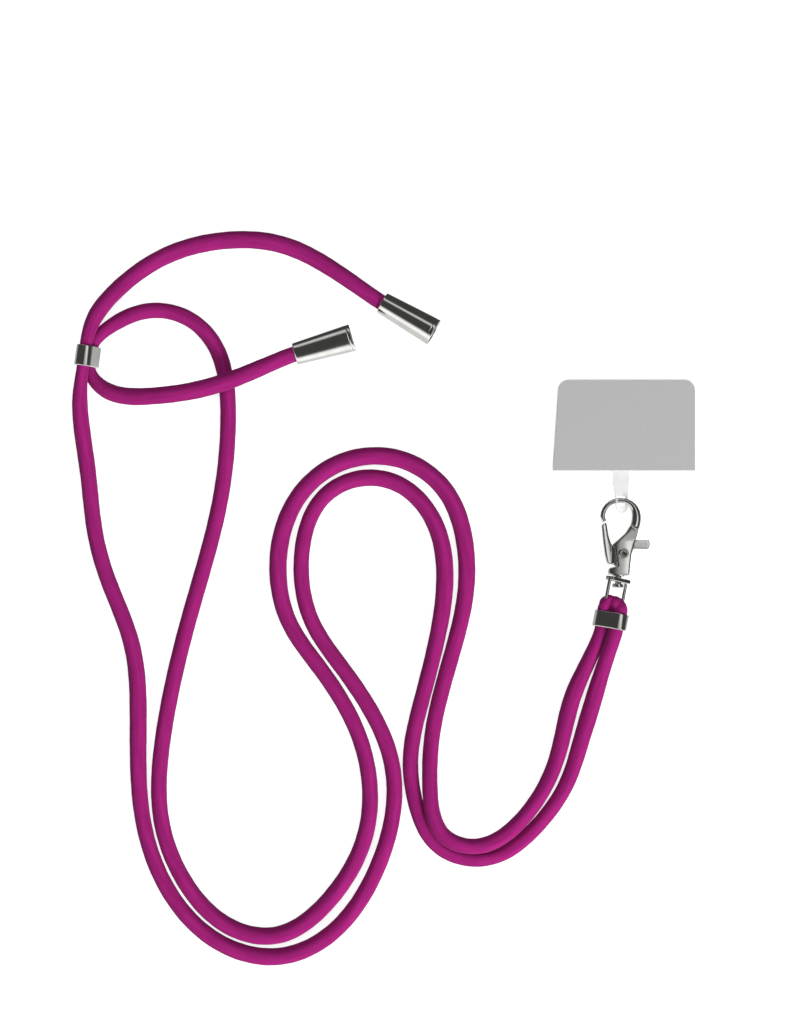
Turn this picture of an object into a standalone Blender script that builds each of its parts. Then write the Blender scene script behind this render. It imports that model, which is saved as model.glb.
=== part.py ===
"""Crossbody strap for a phone, laid flat: a doubled soft cord with its swivel clasp and anchor card.

Metres, +Z up. The floor is z = 0. The origin is the middle of the anchor card's underside, and +Y runs
along the card away from the clasp. One cord is folded over the clasp's eye. Its two strands, a and b,
leave the crimp band, lie side by side through long bends, meet again in the oval slider and end in two
metal caps.
"""
import math

import bmesh
import bpy
import numpy as np
from mathutils import Matrix, Vector

MM = 0.001
GAP = 0.3 * MM                   # clearance between pieces that touch on the real strap

# Cord
CORD_DIAMETER = 6.1 * MM
CORD_SIDES = 4                   # bevel resolution of every cord tube
CHORD_ERROR = 0.45 * MM          # how far a straight run may cut inside the smooth route
LONGEST_RUN = 17.0 * MM
SAMPLES = 40                     # close-set points from one row of a route to the next
COARSE = 20                      # a short tube keeps one close-set point in this many
TURN_WINDOW = 25                 # close-set points over which a route's bend is averaged

# Swivel clasp, in its own frame: x across, y along its axis with 0 at the housing's foot, z up
CLASP_X = -2.4 * MM
CLASP_Y = -55.0 * MM
CLASP_Z = 4.4 * MM
CLASP_LEAN = math.radians(3.5)   # clockwise seen from above
CLASP_PITCH = math.radians(4.1)  # the bow's end lies lower than the housing
CLASP_WIDTH = 14.0 * MM          # what the shares across the clasp count in
CLASP_LENGTH = 28.0 * MM         # what the shares along the clasp count in
BOW_WIRE = 0.95 * MM             # radius of the bow's thin stretch
LEVER_THICKNESS = 2.4 * MM
LEVER_BEVEL = 0.3 * MM
HOUSING_WALL = 1.2 * MM          # on each side of the lever's slot
HOUSING_BEVEL = 0.45 * MM
SLOT_THICKNESS = LEVER_THICKNESS + 2 * GAP
HOUSING_THICKNESS = SLOT_THICKNESS + 2 * HOUSING_WALL

# Post under the housing, its collar and its head
POST_RADIUS = 1.15 * MM
POST_ROOT = 1.0 * MM             # how far post and collar reach into the housing
POST_LIP = 0.65 * MM             # how far the head reaches past the hole it holds
POST_HEAD_LENGTH = 1.4 * MM
COLLAR_RADIUS = 2.3 * MM
COLLAR_LENGTH = 0.4 * MM

# Hollow pin that the lever turns on
PIN_RADIUS = 1.25 * MM
PIN_WALL = 0.5 * MM
PIN_LIP = 0.35 * MM              # how far a head reaches past the hole in the housing
PIN_HEAD_LENGTH = 0.5 * MM
PIN_EDGE = 0.2 * MM
PIN_STEPS = 24

# Crimp band and the clasp's eye share the strap head's lean
HEAD_LEAN = math.radians(11.0)
BAND_BELOW = 15.1 * MM           # middle of the band below the eye's plate
BAND_LENGTH = 5.9 * MM
BAND_WALL = 0.75 * MM
BAND_GIRTH = 0.87                # the cord's girth where the band squeezes it
BAND_ROLL = math.radians(35.0)    # strand a leaves above strand b
BAND_SPREAD = BAND_GIRTH * CORD_DIAMETER / 2 + GAP
RING_ARC_STEPS = 10              # sides in each half circle of an oval ring
RING_EDGE = 0.3                  # rounding of a ring's edges as a share of its wall

EYE_ROLL = math.radians(-35.0)
EYE_WIRE = 0.65 * MM             # radius of the wire
EYE_SIDES = 3                    # bevel resolution of the wire
EYE_HALF_WIDTH = 4.0 * MM
EYE_CORNER = 1.9 * MM
EYE_CORNER_STEPS = 4
EYE_PLATE_DEPTH = 4.6 * MM
EYE_PLATE_HEIGHT = 1.6 * MM
EYE_PLATE_EDGE = 0.4 * MM
EYE_BELOW = COLLAR_LENGTH + 2 * GAP + EYE_PLATE_HEIGHT / 2
EYE_BAR = BAND_BELOW - BAND_LENGTH / 2 - GAP - EYE_WIRE  # the wire's lowest run below the plate

# The fold over the eye, half of it: degrees round the eye's bar, then shares of the band's length down
# from its top. The second column is the cord's girth.
FOLD_ARC = ((90, 0.655), (50, 0.68), (22, 0.74), (2, 0.77))
FOLD_IN_BAND = ((0.0, 0.79), (0.25, 0.85))

# Slider
SLIDER_X = -196.7 * MM
SLIDER_Y = 25.1 * MM
SLIDER_Z = 5.6 * MM
SLIDER_LEAN = math.radians(8.0)
SLIDER_ROLL = math.radians(68.0)
SLIDER_LENGTH = 7.5 * MM
SLIDER_WALL = 0.7 * MM
SLIDER_GIRTH = 0.75
SLIDER_SPREAD = SLIDER_GIRTH * CORD_DIAMETER / 2 + GAP / 2

# End caps: a cap's mouth, then the way it points
CAP_LENGTH = 22.0 * MM
CAP_GIRTH = 0.95
CAP_WALL = 0.8 * MM              # at the mouth
CAP_FLARE = 1.1 * MM             # how much further the closed end reaches from the axis
CAP_CORD_DEPTH = 6.0 * MM
CAP_END_ROOM = 1.0 * MM          # past the cord's end
CAP_RIM = 0.8 * MM
CAP_RECESS = 0.7 * MM
CAP_EDGE = 0.3 * MM
CAP_STEPS = 28
CAP_BORE = CAP_GIRTH * CORD_DIAMETER / 2 + GAP
CAP_MOUTH_RADIUS = CAP_BORE + CAP_WALL
CAP_END_RADIUS = CAP_MOUTH_RADIUS + CAP_FLARE
CAP_A_MOUTH = (-89.0 * MM, 44.8 * MM)
CAP_A_TURN = math.radians(-30.0)
CAP_B_MOUTH = (-121.0 * MM, 25.9 * MM)
CAP_B_TURN = math.radians(16.0)

# Anchor card: a clear sheet whose tab goes through the clasp's bow, and the grey pad on it
SHEET_THICKNESS = 0.5 * MM
PAD_THICKNESS = 0.5 * MM
CARD_WIDTH = 52.0 * MM
CARD_HEIGHT = 33.0 * MM
CARD_TAPER = 2.0 * MM            # how far the left edge leans in at the top
CARD_CORNER = 3.6 * MM
CARD_CORNER_STEPS = 6
CARD_MARGIN = 0.4 * MM           # clear sheet beyond the pad
TAB_WIDTH = 6.1 * MM
TAB_THICKNESS = 0.48 * MM
TAB_ROOT = 2.0 * MM              # how far the tab reaches into the sheet
TAB_TWIST = math.radians(42.0)
TAB_TWIST_STEPS = 10
TAB_BEYOND = 4.6 * MM            # from the bow's wire to the tab's tip
TAB_TIP = 2.45 * MM              # length of the rounded tip
TAB_TIP_TURN = math.radians(86.0)
TAB_TIP_STEPS = 6
TAB_RIM = 0.9 * MM               # on each side of the hole for the bow
TAB_HOLE_LENGTH = 2 * BOW_WIRE + 4 * GAP
TAB_ON_BOW = (-0.026, 0.979)     # where the bow's wire passes through the tab, in shares of the clasp

# Route of each strand on the floor, chosen by eye: x and y in mm, how far the cord is lifted off the
# floor in mm, and its girth as a share of the cord's diameter
STRAND_A_ARM = (
    (-7, -86, 2.2, 0.93), (-11.5, -101, 0, 1.06), (-16, -116, 0, 1.02), (-21.5, -132, 0, 0.95),
    (-32, -147, 0, 0.93), (-45.5, -157.5, 0, 0.93), (-58.5, -159, 0, 0.93), (-70, -153, 0, 0.93),
    (-77, -137.5, 0, 0.94), (-78.5, -121, 0, 0.96), (-74.5, -101, 0, 0.97), (-69, -79, 0, 1.0),
    (-66, -57, 0, 1.07), (-69.5, -36.5, 0, 1.04), (-81.5, -22.5, 0, 1.02), (-96.5, -19.5, 0, 1.02),
    (-111, -27, 0, 0.97), (-118.5, -47.5, 0, 0.95), (-115, -71.5, 0, 0.96), (-103, -90, 0, 0.96),
    (-88, -115.5, 0, 0.98), (-84.5, -136, 0, 0.98), (-90, -160.5, 0, 1.0), (-106.5, -185.5, 0, 1.02),
    (-127.5, -195, 0, 1.05), (-151, -188.5, 0, 1.0), (-169, -168, 0, 0.96), (-177.5, -140, 0, 0.97),
    (-178.5, -105.5, 0, 1.05), (-181, -80, 0, 1.0), (-189.5, -57, 0, 0.97), (-194.5, -38.5, 0, 0.97),
    (-197, -16.5, 0.4, 0.99), (-199.5, 9, 3.4, 0.93))
STRAND_A_TAIL = (
    (-194.5, 38, 4.3, 0.95), (-188, 47.5, 1.7, 1.02), (-168.5, 62, 0, 1.04), (-141, 68, 0, 1.06),
    (-117.5, 63, 0, 1.05))
STRAND_B_ARM = (
    (-13, -86, 0.2, 0.93), (-19.5, -101, 0, 1.06), (-25.5, -124, 0.4, 0.97), (-38.5, -145, 3.1, 0.95),
    (-54, -154, 4.0, 0.95), (-67, -149.5, 4.2, 0.95), (-71.5, -132, 2.9, 0.95), (-70, -110, 0, 0.97),
    (-62, -79, 0, 1.0), (-58, -57, 0, 1.04), (-60.5, -35, 0, 1.08), (-67.5, -22, 0, 1.08),
    (-82.5, -12.5, 0, 1.08), (-103.5, -13.5, 0, 1.08), (-119.5, -26, 0, 1.06), (-127, -47.5, 0, 1.08),
    (-123.5, -71.5, 0, 1.0), (-112, -89, 0, 0.97), (-97, -115.5, 0, 0.97), (-94.5, -147.5, 0, 1.0),
    (-107, -172.5, 0, 1.05), (-127, -187, 0, 1.06), (-146, -183.5, 0, 1.02), (-161.5, -167.5, 0, 0.98),
    (-170, -145, 0, 0.97), (-169.5, -115.5, 0, 0.98), (-160, -71.5, 0, 0.98), (-149, -30.5, 0, 0.97),
    (-145.5, 3.5, 0, 0.97), (-149.5, 27.5, 0, 0.97), (-160, 39, 0, 0.95), (-174, 42, 0, 0.95),
    (-187.5, 37, 0.1, 0.9))
STRAND_B_TAIL = (
    (-190.5, 13, 1.4, 0.97), (-172.5, 10.5, 4.2, 1.04), (-146, 15.5, 6.8, 1.06))

# Clasp outlines, in shares of the clasp's width across and of its length along
PIVOT = (0.086, 0.279)
HOUSING_OUTLINE = (
    (-0.264, 0.0), (0.279, 0.0), (0.279, 0.061), (0.286, 0.15), (0.307, 0.3), (0.379, 0.45),
    (0.42, 0.53), (0.443, 0.615), (0.243, 0.664), (0.129, 0.557), (-0.043, 0.468), (-0.186, 0.4),
    (-0.057, 0.114), (-0.264, 0.079))
SLOT_OUTLINE = (
    (-0.643, 0.079), (0.857, 0.079), (0.857, 0.5), (0.371, 0.5), (0.243, 0.468), (0.114, 0.418),
    (-0.029, 0.414), (-0.029, 0.607), (-0.643, 0.607))
LEVER_OUTLINE = (
    (-0.514, 0.64), (-0.486, 0.554), (-0.436, 0.393), (-0.371, 0.232), (-0.314, 0.139),
    (-0.179, 0.139), (-0.057, 0.107), (0.086, 0.093), (0.164, 0.104), (0.271, 0.186), (0.314, 0.286),
    (0.35, 0.35), (0.75, 0.361), (0.779, 0.425), (0.75, 0.486), (0.414, 0.475), (0.307, 0.439),
    (0.193, 0.382), (0.086, 0.393), (-0.014, 0.379), (-0.121, 0.354), (-0.243, 0.407), (-0.314, 0.5),
    (-0.386, 0.664), (-0.407, 0.681), (-0.464, 0.663))

# The bow from its nose, round the top and down the thick limb into the housing: shares across and
# along the clasp, and the radius as a share of the thin wire's
BOW_PATH = (
    (-0.441, 0.688, 0.9), (-0.497, 0.755, 0.95), (-0.45, 0.857, 1.0), (-0.314, 0.936, 1.0),
    (-0.143, 0.975, 1.0), (0.043, 0.979, 1.0), (0.214, 0.946, 1.21), (0.336, 0.879, 1.53),
    (0.386, 0.793, 1.79), (0.379, 0.693, 1.84), (0.329, 0.607, 1.84), (0.25, 0.532, 1.68))


def material(name, colour, roughness, metallic=0.0, alpha=1.0):
    """One Principled material."""
    made = bpy.data.materials.new(name)
    made.use_nodes = True
    shader = made.node_tree.nodes["Principled BSDF"]
    shader.inputs["Base Color"].default_value = (*colour, 1.0)
    shader.inputs["Roughness"].default_value = roughness
    shader.inputs["Metallic"].default_value = metallic
    shader.inputs["Alpha"].default_value = alpha
    return made


def collection(name):
    made = bpy.data.collections.new(name)
    bpy.context.scene.collection.children.link(made)
    return made


def add(name, data, place, group, look=None):
    """An object in a collection at a place given as a matrix."""
    made = bpy.data.objects.new(name, data)
    made.matrix_world = place
    group.objects.link(made)
    if look is not None:
        data.materials.append(look)
    return made


def flush(obj):
    """The curve object as a closed mesh object with its caps welded."""
    bpy.context.view_layer.update()
    mesh = bpy.data.meshes.new_from_object(obj.evaluated_get(bpy.context.evaluated_depsgraph_get()))
    work = bmesh.new()
    work.from_mesh(mesh)
    bmesh.ops.remove_doubles(work, verts=work.verts, dist=1e-6)
    work.to_mesh(mesh)
    work.free()
    made = bpy.data.objects.new(obj.name, mesh)
    made.matrix_world = obj.matrix_world.copy()
    for group in obj.users_collection:
        group.objects.link(made)
    name = obj.name
    bpy.data.objects.remove(obj)
    made.name = name
    return made


def boolean(obj, tool, operation="DIFFERENCE"):
    """A Boolean on obj, whose tool stays as a hidden guide."""
    tool.hide_render = True
    tool.display_type = "WIRE"
    step = obj.modifiers.new(tool.name, "BOOLEAN")
    step.operation = operation
    step.solver = "EXACT"
    step.object = tool


def bevel(obj, width, segments=2, angle=35.0):
    step = obj.modifiers.new("rounded edges", "BEVEL")
    step.width = width
    step.segments = segments
    step.limit_method = "ANGLE"
    step.angle_limit = math.radians(angle)


def shade(obj, angle=40.0):
    obj.data.shade_smooth()
    obj.data.set_sharp_from_angle(angle=math.radians(angle))


def frame(place, heading, pitch=0.0, roll=0.0):
    """A frame at a place: turned by its heading, tipped by its pitch, rolled about its own y axis."""
    turn = Matrix.Rotation(heading, 4, "Z") @ Matrix.Rotation(pitch, 4, "X") @ Matrix.Rotation(roll, 4, "Y")
    return Matrix.Translation(place) @ turn


def clasp_frame():
    return frame(Vector((CLASP_X, CLASP_Y, CLASP_Z)), -CLASP_LEAN, -CLASP_PITCH)


def on_clasp(shares):
    """A point of the clasp's middle plane, in its own frame, from shares across and along it."""
    return Vector((shares[0] * CLASP_WIDTH, shares[1] * CLASP_LENGTH, 0))


def head_frame(roll=0.0):
    """The strap head's frame, whose origin is the middle of the eye's plate."""
    return frame(clasp_frame() @ Vector((0, -EYE_BELOW, 0)), -HEAD_LEAN, -CLASP_PITCH, roll)


def slider_frame():
    return frame(Vector((SLIDER_X, SLIDER_Y, SLIDER_Z)), -SLIDER_LEAN, 0.0, SLIDER_ROLL)


def cap_frame(mouth, turn, resting):
    """A cap's frame at its mouth with +x towards its closed end, lying on its side or level."""
    rise = math.asin(CAP_FLARE / CAP_LENGTH) if resting else 0.0
    height = CAP_MOUTH_RADIUS / math.cos(rise) if resting else CAP_END_RADIUS
    turned_way = Matrix.Rotation(turn, 4, "Z") @ Matrix.Rotation(-rise, 4, "Y")
    return Matrix.Translation((*mouth, height)) @ turned_way


def smooth(rows):
    """Natural cubic spline through rows of numbers, as close-set rows."""
    table = np.array(rows, float)
    steps = np.linalg.norm(np.diff(table[:, :2], axis=0), axis=1) ** 0.75
    count = len(table)
    system, right = np.eye(count), np.zeros_like(table)
    for i in range(1, count - 1):
        system[i, i - 1:i + 2] = steps[i - 1], 2 * (steps[i - 1] + steps[i]), steps[i]
        right[i] = 6 * ((table[i + 1] - table[i]) / steps[i] - (table[i] - table[i - 1]) / steps[i - 1])
    bend = np.linalg.solve(system, right)
    fine = []
    for i, step in enumerate(steps):
        for share in np.linspace(0, 1, SAMPLES, endpoint=False):
            a, b = (1 - share) * step, share * step
            fine.append((bend[i] * a ** 3 + bend[i + 1] * b ** 3) / (6 * step)
                        + (table[i] / step - bend[i] * step / 6) * a
                        + (table[i + 1] / step - bend[i + 1] * step / 6) * b)
    fine.append(table[-1])
    return np.array(fine)


def thinned(points):
    """Indices along close-set points, nearer each other where the route bends."""
    ways = np.diff(points, axis=0)
    lengths = np.linalg.norm(ways, axis=1)
    ways /= lengths[:, None]
    turns = np.linalg.norm(np.diff(ways, axis=0), axis=1) / lengths[1:]
    window = np.ones(TURN_WINDOW) / TURN_WINDOW
    turns = np.convolve(np.pad(turns, (1, 0), mode="edge"), window, mode="same")
    want = np.sqrt(8 * CHORD_ERROR / np.maximum(turns, 1e-6))
    share = lengths / np.minimum(want, LONGEST_RUN)
    travelled = np.concatenate([[0], np.cumsum(share)])
    runs = math.ceil(travelled[-1])
    return [int(np.abs(travelled - mark).argmin()) for mark in np.linspace(0, travelled[-1], runs + 1)]


def strand_points(*stretches):
    """World points and girths of a strand from its stretches, rows of x, y, lift off the floor and girth.

    Every other stretch, from the first, is a straight run through a piece and keeps its two ends.
    """
    rows = [row for stretch in stretches for row in stretch]
    fine = smooth(rows)
    girths = fine[:, 3]
    heights = np.maximum(fine[:, 2], 0) + girths * CORD_DIAMETER / 2
    points = np.column_stack([fine[:, :2], heights])
    marks, first = [], 0
    for number, stretch in enumerate(stretches):
        if number % 2 == 0:
            marks += [first * SAMPLES, (first + len(stretch) - 1) * SAMPLES]
        first += len(stretch)
    kept = []
    for start, end in zip(marks, marks[1:]):
        kept += [start + i for i in thinned(points[start:end + 1])[:-1]]
    kept.append(marks[-1])
    return [Vector(points[i]) for i in kept], [float(girths[i]) for i in kept]


def tube(name, points, girths, diameter, group, look, resolution=CORD_SIDES):
    """A closed tube along points, whose girth may vary."""
    curve = bpy.data.curves.new(name, "CURVE")
    curve.dimensions = "3D"
    curve.bevel_depth = diameter / 2
    curve.bevel_resolution = resolution
    curve.use_fill_caps = True
    curve.twist_mode = "MINIMUM"
    spline = curve.splines.new("POLY")
    spline.points.add(len(points) - 1)
    for target, point, girth in zip(spline.points, points, girths):
        target.co = (*point, 1.0)
        target.radius = girth
    return add(name, curve, Matrix.Identity(4), group, look)


def flat_curve(name, outlines, thickness):
    """Closed outlines in metres, the first round the others, extruded evenly about their plane."""
    curve = bpy.data.curves.new(name, "CURVE")
    curve.dimensions = "2D"
    curve.fill_mode = "BOTH"
    curve.extrude = thickness / 2
    for outline in outlines:
        spline = curve.splines.new("POLY")
        spline.points.add(len(outline) - 1)
        for target, point in zip(spline.points, outline):
            target.co = (point[0], point[1], 0.0, 1.0)
        spline.use_cyclic_u = True
    return curve


def rod(name, radius, start, end, group, sides=24):
    """A cutter or joining cylinder between two points."""
    axis = end - start
    work = bmesh.new()
    bmesh.ops.create_cone(work, cap_ends=True, segments=sides, radius1=radius, radius2=radius,
                          depth=axis.length)
    mesh = bpy.data.meshes.new(name)
    work.to_mesh(mesh)
    work.free()
    turn = axis.to_track_quat("Z", "Y").to_matrix().to_4x4()
    return add(name, mesh, Matrix.Translation((start + end) / 2) @ turn, group)


def block(name, size, place, group):
    """A box of a size at a place."""
    work = bmesh.new()
    bmesh.ops.create_cube(work, size=1.0)
    bmesh.ops.scale(work, vec=size, verts=work.verts)
    mesh = bpy.data.meshes.new(name)
    work.to_mesh(mesh)
    work.free()
    return add(name, mesh, place, group)


def turned(name, profile, place, group, look, steps):
    """A Screw solid from a profile of radius and height, top to bottom on its outer side."""
    work = bmesh.new()
    corners = [work.verts.new((radius, 0, height)) for radius, height in profile]
    for first, second in zip(corners, corners[1:]):
        work.edges.new((first, second))
    if profile[0][0] > 0:
        work.edges.new((corners[-1], corners[0]))
    mesh = bpy.data.meshes.new(name)
    work.to_mesh(mesh)
    work.free()
    screw = add(name, mesh, place, group, look).modifiers.new("turned", "SCREW")
    screw.axis = "Z"
    screw.steps = steps
    screw.render_steps = steps
    screw.use_merge_vertices = True
    screw.merge_threshold = 0.00001


def arc(centre, radius, start, turn, steps):
    """Points of a circle's arc, from an angle and through a turn."""
    angles = [start + turn * i / steps for i in range(steps + 1)]
    return [(centre[0] + radius * math.cos(angle), centre[1] + radius * math.sin(angle)) for angle in angles]


def oval(spread, radius):
    """Outline of two half circles about points at a spread on each side."""
    right = arc((spread, 0), radius, -math.pi / 2, math.pi, RING_ARC_STEPS)
    return right + arc((-spread, 0), radius, math.pi / 2, math.pi, RING_ARC_STEPS)


def oval_ring(name, spread, inner, wall, length, place, group, look):
    """An oval band round two strands: its long way is x, its axis y."""
    curve = flat_curve(name, (oval(spread, inner + wall), oval(spread, inner)), length)
    standing = place @ Matrix.Rotation(math.radians(-90), 4, "X")
    made = flush(add(name, curve, standing, group, look))
    bevel(made, wall * RING_EDGE, segments=1)
    shade(made)


def in_floor_row(point, girth):
    """A world point as a route row of x, y, lift and girth."""
    return point.x, point.y, point.z - girth * CORD_DIAMETER / 2, girth


def in_metres(rows):
    return [(x * MM, y * MM, lift * MM, girth) for x, y, lift, girth in rows]


def band_rows(side):
    """A strand's first rows, from the band's middle straight out of it."""
    place = head_frame(-BAND_ROLL)
    stations = np.linspace(BAND_BELOW + GAP / 2, BAND_BELOW + BAND_LENGTH / 2 + 2 * GAP, 3)
    return [in_floor_row(place @ Vector((side * BAND_SPREAD, -down, 0)), BAND_GIRTH) for down in stations]


def slider_rows(side, upward):
    """The rows where a strand runs straight through the slider."""
    place = slider_frame()
    reach = SLIDER_LENGTH / 2 + 2 * GAP
    rows = [in_floor_row(place @ Vector((side * SLIDER_SPREAD, along, 0)), SLIDER_GIRTH)
            for along in (-reach, 0.0, reach)]
    return rows if upward else rows[::-1]


def cap_rows(mouth, turn, resting):
    """A strand's last rows, straight into its cap."""
    place = cap_frame(mouth, turn, resting)
    stations = np.linspace(-2 * GAP, CAP_CORD_DEPTH, 3)
    return [in_floor_row(place @ Vector((along, 0, 0)), CAP_GIRTH) for along in stations]


def fold_half():
    """Half of the fold from its top: out from the head's axis, down from the eye's plate, and girth."""
    rows = []
    for degrees, girth in FOLD_ARC:
        angle = math.radians(degrees)
        reach = EYE_WIRE + 1.5 * GAP + girth * CORD_DIAMETER / 2
        rows.append((reach * math.cos(angle), EYE_BAR - reach * math.sin(angle), girth))
    for share, girth in FOLD_IN_BAND:
        rows.append((BAND_SPREAD + GAP * (1 - 4 * share), BAND_BELOW + BAND_LENGTH * (share - 0.5), girth))
    rows.append((BAND_SPREAD, BAND_BELOW - GAP / 2, BAND_GIRTH))
    return rows


def make_cords(group, look):
    """The two strands and the fold that joins them inside the band."""
    strand_a = (band_rows(1), in_metres(STRAND_A_ARM), slider_rows(-1, True), in_metres(STRAND_A_TAIL),
                cap_rows(CAP_A_MOUTH, CAP_A_TURN, True))
    strand_b = (band_rows(-1), in_metres(STRAND_B_ARM), slider_rows(1, False), in_metres(STRAND_B_TAIL),
                cap_rows(CAP_B_MOUTH, CAP_B_TURN, False))
    tube("cord_strand_a", *strand_points(*strand_a), CORD_DIAMETER, group, look)
    tube("cord_strand_b", *strand_points(*strand_b), CORD_DIAMETER, group, look)
    half = fold_half()
    fine = smooth([(-out, down, girth) for out, down, girth in half[:0:-1]] + half)[::COARSE]
    place = head_frame(-BAND_ROLL)
    points = [place @ Vector((out, -down, 0)) for out, down, _ in fine]
    tube("cord_fold", points, [row[2] for row in fine], CORD_DIAMETER, group, look)


def make_rings(group, look):
    """The crimp band and the slider."""
    oval_ring("crimp_band", BAND_SPREAD, BAND_GIRTH * CORD_DIAMETER / 2 + GAP, BAND_WALL, BAND_LENGTH,
              head_frame(-BAND_ROLL) @ Matrix.Translation((0, -BAND_BELOW, 0)), group, look)
    oval_ring("slider_ring", SLIDER_SPREAD, SLIDER_GIRTH * CORD_DIAMETER / 2 + GAP, SLIDER_WALL,
              SLIDER_LENGTH, slider_frame(), group, look)


def make_cap(name, mouth, turn, resting, group, look):
    """A turned cap: a bore for the cord's end at its mouth, and a shallow recess in its closed end."""
    rim = CAP_END_RADIUS - CAP_RIM
    bottom = CAP_CORD_DEPTH + CAP_END_ROOM
    profile = [(0, CAP_LENGTH - CAP_RECESS), (rim - CAP_EDGE, CAP_LENGTH - CAP_RECESS), (rim, CAP_LENGTH),
               (CAP_END_RADIUS - CAP_EDGE, CAP_LENGTH), (CAP_END_RADIUS, CAP_LENGTH - CAP_EDGE),
               (CAP_MOUTH_RADIUS, CAP_EDGE), (CAP_MOUTH_RADIUS - CAP_EDGE, 0), (CAP_BORE, 0),
               (CAP_BORE, bottom), (0, bottom)]
    lying = cap_frame(mouth, turn, resting) @ Matrix.Rotation(math.radians(90), 4, "Y")
    turned(name, profile, lying, group, look, CAP_STEPS)


def make_eye(group, tools, look):
    """The stirrup that turns on the clasp's post: a wire loop and its plate."""
    place = head_frame(-EYE_ROLL)
    inset, low = EYE_HALF_WIDTH - EYE_CORNER, EYE_CORNER - EYE_BAR
    left = arc((-inset, low), EYE_CORNER, math.pi, math.pi / 2, EYE_CORNER_STEPS)
    right = arc((inset, low), EYE_CORNER, 1.5 * math.pi, math.pi / 2, EYE_CORNER_STEPS)
    path = [(-EYE_HALF_WIDTH, 0)] + left + right + [(EYE_HALF_WIDTH, 0)]
    eye = flush(tube("swivel_eye", [Vector((x, y, 0)) for x, y in path], [1.0] * len(path), 2 * EYE_WIRE,
                     group, look, resolution=EYE_SIDES))
    eye.matrix_world = place
    plate_width = 2 * EYE_HALF_WIDTH + EYE_WIRE
    plate = block("eye_plate", (plate_width, EYE_PLATE_HEIGHT, EYE_PLATE_DEPTH), place, tools)
    bevel(plate, EYE_PLATE_EDGE)
    boolean(eye, plate, "UNION")
    above = Vector((0, EYE_PLATE_HEIGHT, 0))
    boolean(eye, rod("eye_hole", POST_RADIUS + GAP, place @ above, place @ -above, tools))
    shade(eye)


def make_hook(group, tools, look):
    """The clasp's body: a slotted housing, its bow and the post with its head."""
    place = clasp_frame()
    outline = [on_clasp(row) for row in HOUSING_OUTLINE]
    body = flush(add("hook_body", flat_curve("hook_body", (outline,), HOUSING_THICKNESS), place, group, look))
    bevel(body, HOUSING_BEVEL)

    path = smooth([(*on_clasp(row).xy, row[2]) for row in BOW_PATH])[::COARSE]
    bow = flush(tube("bow", [Vector((x, y, 0)) for x, y, _ in path], [row[2] for row in path], 2 * BOW_WIRE,
                     tools, None))
    bow.matrix_world = place
    boolean(body, bow, "UNION")

    neck_end = -EYE_BELOW - EYE_PLATE_HEIGHT / 2 - 2 * GAP
    stations = (("post", POST_RADIUS, POST_ROOT, neck_end - POST_HEAD_LENGTH / 2),
                ("collar", COLLAR_RADIUS, POST_ROOT, -COLLAR_LENGTH),
                ("post_head", POST_RADIUS + GAP + POST_LIP, neck_end, neck_end - POST_HEAD_LENGTH))
    for name, radius, start, end in stations:
        piece = rod(name, radius, place @ Vector((0, start, 0)), place @ Vector((0, end, 0)), tools)
        boolean(body, piece, "UNION")

    slot_outline = [on_clasp(row) for row in SLOT_OUTLINE]
    slot = flush(add("lever_slot", flat_curve("lever_slot", (slot_outline,), SLOT_THICKNESS), place, tools))
    boolean(body, slot)
    boolean(body, pin_hole("pin_hole", tools))
    shade(body)


def pin_hole(name, tools):
    """The cutter of the hole for the lever's pin."""
    place = clasp_frame() @ Matrix.Translation(on_clasp(PIVOT))
    through = Vector((0, 0, HOUSING_THICKNESS))
    return rod(name, PIN_RADIUS + GAP, place @ -through, place @ through, tools)


def make_lever(group, tools, look):
    """The sprung lever, whose origin is its pivot, and the hollow pin through it."""
    pivot = on_clasp(PIVOT)
    outline = [on_clasp(row) - pivot for row in LEVER_OUTLINE]
    place = clasp_frame() @ Matrix.Translation(pivot)
    lever = flush(add("hook_lever", flat_curve("hook_lever", (outline,), LEVER_THICKNESS), place, group, look))
    bevel(lever, LEVER_BEVEL, segments=1)
    boolean(lever, pin_hole("lever_hole", tools))
    shade(lever)

    seat = HOUSING_THICKNESS / 2 + GAP
    head = PIN_RADIUS + GAP + PIN_LIP
    top = seat + PIN_HEAD_LENGTH
    upper = [(PIN_RADIUS - PIN_WALL, top), (head - PIN_EDGE, top), (head, top - PIN_EDGE), (head, seat),
             (PIN_RADIUS, seat)]
    profile = upper + [(radius, -height) for radius, height in upper[::-1]]
    turned("lever_pin", profile, place, group, look, PIN_STEPS)


def rounded_card(margin):
    """The card's outline, larger than the pad by a margin, from its lower left corner."""
    left, right = -CARD_WIDTH / 2 - margin, CARD_WIDTH / 2 + margin
    low, high = -CARD_HEIGHT / 2 - margin, CARD_HEIGHT / 2 + margin
    corner = CARD_CORNER + margin
    top_right = arc((right - corner, high - corner), corner, 0.0, math.pi / 2, CARD_CORNER_STEPS)
    top_left = arc((left + CARD_TAPER + corner, high - corner), corner, math.pi / 2, math.pi / 2,
                   CARD_CORNER_STEPS)
    return [(left, low), (right, low)] + top_right + top_left


def tab_rows(bow):
    """Rows along the tab: y, height of its middle, twist and half width. The bow's wire is at bow."""
    edge = -CARD_HEIGHT / 2 - CARD_MARGIN
    flat, half = SHEET_THICKNESS / 2, TAB_WIDTH / 2
    rows = [(edge + TAB_ROOT, flat, 0.0, half)]
    for i in range(TAB_TWIST_STEPS + 1):
        share = i / TAB_TWIST_STEPS
        ease = share * share * (3 - 2 * share)
        rows.append((edge + (bow.y - edge) * share, flat + (bow.z - flat) * ease, TAB_TWIST * ease, half))
    for i in range(TAB_TIP_STEPS + 1):
        angle = TAB_TIP_TURN * i / TAB_TIP_STEPS
        y = bow.y - TAB_BEYOND + TAB_TIP * (1 - math.sin(angle))
        rows.append((y, bow.z, TAB_TWIST, half * math.cos(angle)))
    return rows


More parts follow.
